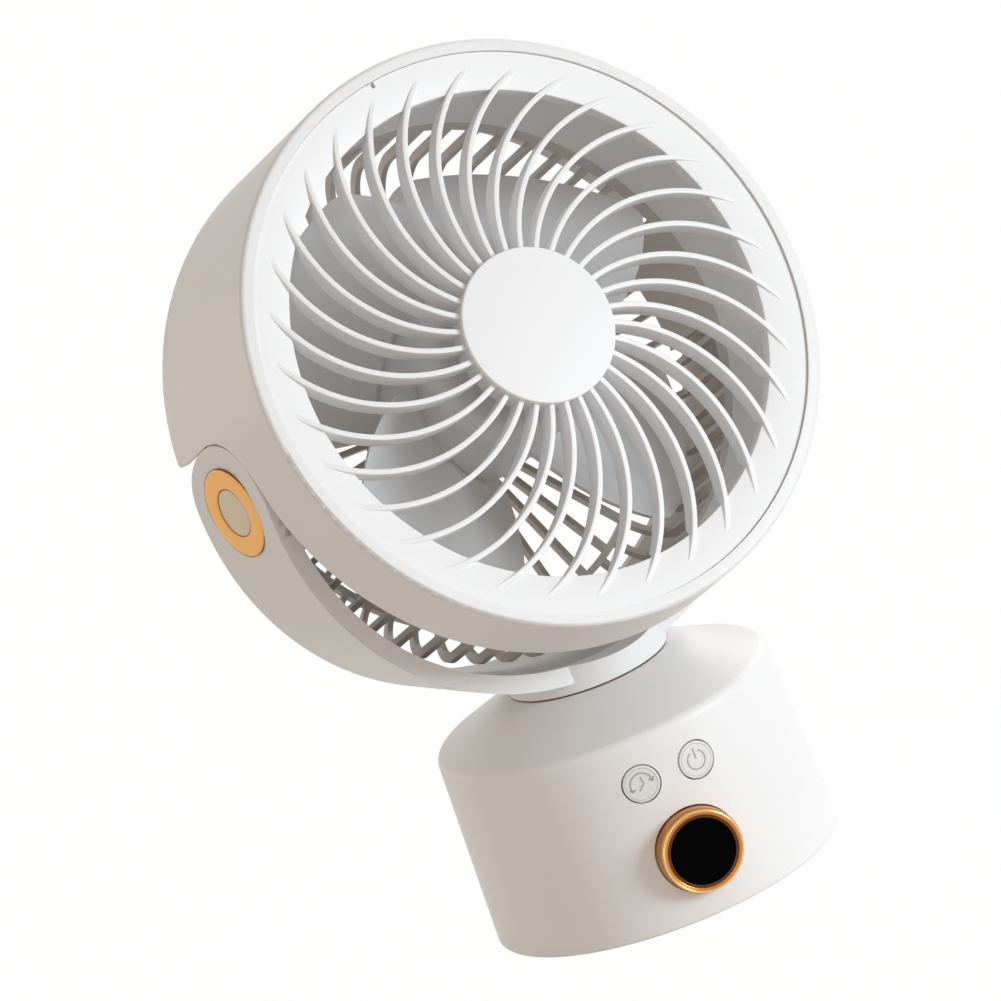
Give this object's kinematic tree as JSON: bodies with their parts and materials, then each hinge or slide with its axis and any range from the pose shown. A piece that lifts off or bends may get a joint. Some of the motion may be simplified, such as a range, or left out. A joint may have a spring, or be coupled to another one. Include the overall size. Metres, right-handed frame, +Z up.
{
  "type": "portable mini fan",
  "caption": "Portable desk fan: white drum head with a spiral-fin front grille, tilting in a half-ring yoke on a round swinging base with knob, display and push buttons.",
  "frame": {"origin": "centre of the foot pad's underside, on the base's axis", "axes": "+Z up, the base's knob and display face -Y; the head is turned 16.65 degrees towards +X and tilted 22.8 degrees up"},
  "size_m": [0.1976, 0.1509, 0.2715],
  "materials": {
    "base_plastic": "satin white",
    "dark_rubber": "matt",
    "cover_plastic": "satin",
    "screw_steel": "machined",
    "cell_wrap": "shrink wrap",
    "inner_plastic": "matt",
    "motor_steel": "plated",
    "circuit_board": "solder mask",
    "socket_steel": "plated",
    "display_black": "polished",
    "knob_copper": "polished copper colour",
    "button_plastic": "satin white",
    "acetal": "natural",
    "shaft_steel": "ground",
    "yoke_plastic": "satin white",
    "badge_orange": "metallic orange",
    "cap_plastic": "satin",
    "shell_plastic": "satin white",
    "grille_plastic": "satin white",
    "rear_plastic": "satin white",
    "coil_copper": "enamelled wire",
    "magnet": "nickel",
    "blade_plastic": "satin white"
  },
  "bodies": {
    "base": {"base_shell": "base_plastic", "bottom_cover": "cover_plastic", "foot_pad": "dark_rubber", "cover_screws": "screw_steel", "battery_cells": "cell_wrap", "battery_holder": "inner_plastic", "motor_tray": "inner_plastic", "swing_motor": "motor_steel", "swing_motor_screws": "screw_steel", "control_board": "circuit_board", "board_screws": "screw_steel", "display_core": "inner_plastic", "display_lens": "display_black", "knob_encoder": "inner_plastic", "button_switches": "inner_plastic", "charge_board": "circuit_board", "charging_socket": "socket_steel", "swing_washer": "acetal"},
    "knob": {"knob_ring": "knob_copper"},
    "swing_key": {"swing_button": "button_plastic"},
    "power_key": {"power_button": "button_plastic"},
    "yoke": {"yoke_shell": "yoke_plastic", "yoke_cover": "yoke_plastic", "yoke_cover_screws": "screw_steel", "spindle": "acetal", "spindle_screws": "screw_steel", "spindle_retainer": "screw_steel", "retainer_screws": "screw_steel", "swing_shaft": "shaft_steel", "tilt_bush_left": "acetal", "tilt_bush_right": "acetal", "tilt_washer_left": "acetal", "tilt_washer_right": "acetal", "badge_ring_left": "badge_orange", "badge_ring_right": "badge_orange", "pivot_cap_left": "cap_plastic", "pivot_cap_right": "cap_plastic"},
    "head": {"head_shell": "shell_plastic", "front_grille": "grille_plastic", "grille_hub_cap": "grille_plastic", "rear_grille": "rear_plastic", "rear_screws": "screw_steel", "fan_motor_can": "motor_steel", "motor_bearings": "shaft_steel", "motor_coils": "coil_copper", "tilt_bolt_left": "screw_steel", "tilt_bolt_right": "screw_steel"},
    "rotor": {"magnet_rotor": "magnet", "motor_shaft": "shaft_steel", "impeller": "blade_plastic", "impeller_nut": "acetal"}
  },
  "joints": [
    {"name": "swing", "type": "hinge", "parent": "base", "child": "yoke", "pos_m": [0, 0, 0.0722], "axis": [0, 0, 1], "range_deg": [-61.65, 28.35]},
    {"name": "tilt", "type": "hinge", "parent": "yoke", "child": "head", "pos_m": [-0.00057, 0.00192, 0.1678], "axis": [-0.9581, -0.2865, 0], "range_deg": [-17.8, 37.2]},
    {"name": "blade_spin", "type": "hinge", "parent": "head", "child": "rotor", "pos_m": [0.00603, -0.02016, 0.17749], "axis": [0.2641, -0.8832, 0.3875], "continuous": true},
    {"name": "knob_turn", "type": "hinge", "parent": "base", "child": "knob", "pos_m": [0, -0.0592, 0.02175], "axis": [0, -1, 0], "continuous": true},
    {"name": "swing_press", "type": "slide", "parent": "base", "child": "swing_key", "axis": [0.1722, 0.9851, 0], "range_m": [0, 0.0006], "stiffness_N_per_m": 800, "springref_m": -0.0003},
    {"name": "power_press", "type": "slide", "parent": "base", "child": "power_key", "axis": [-0.1722, 0.9851, 0], "range_m": [0, 0.0006], "stiffness_N_per_m": 800, "springref_m": -0.0003}
  ]
}
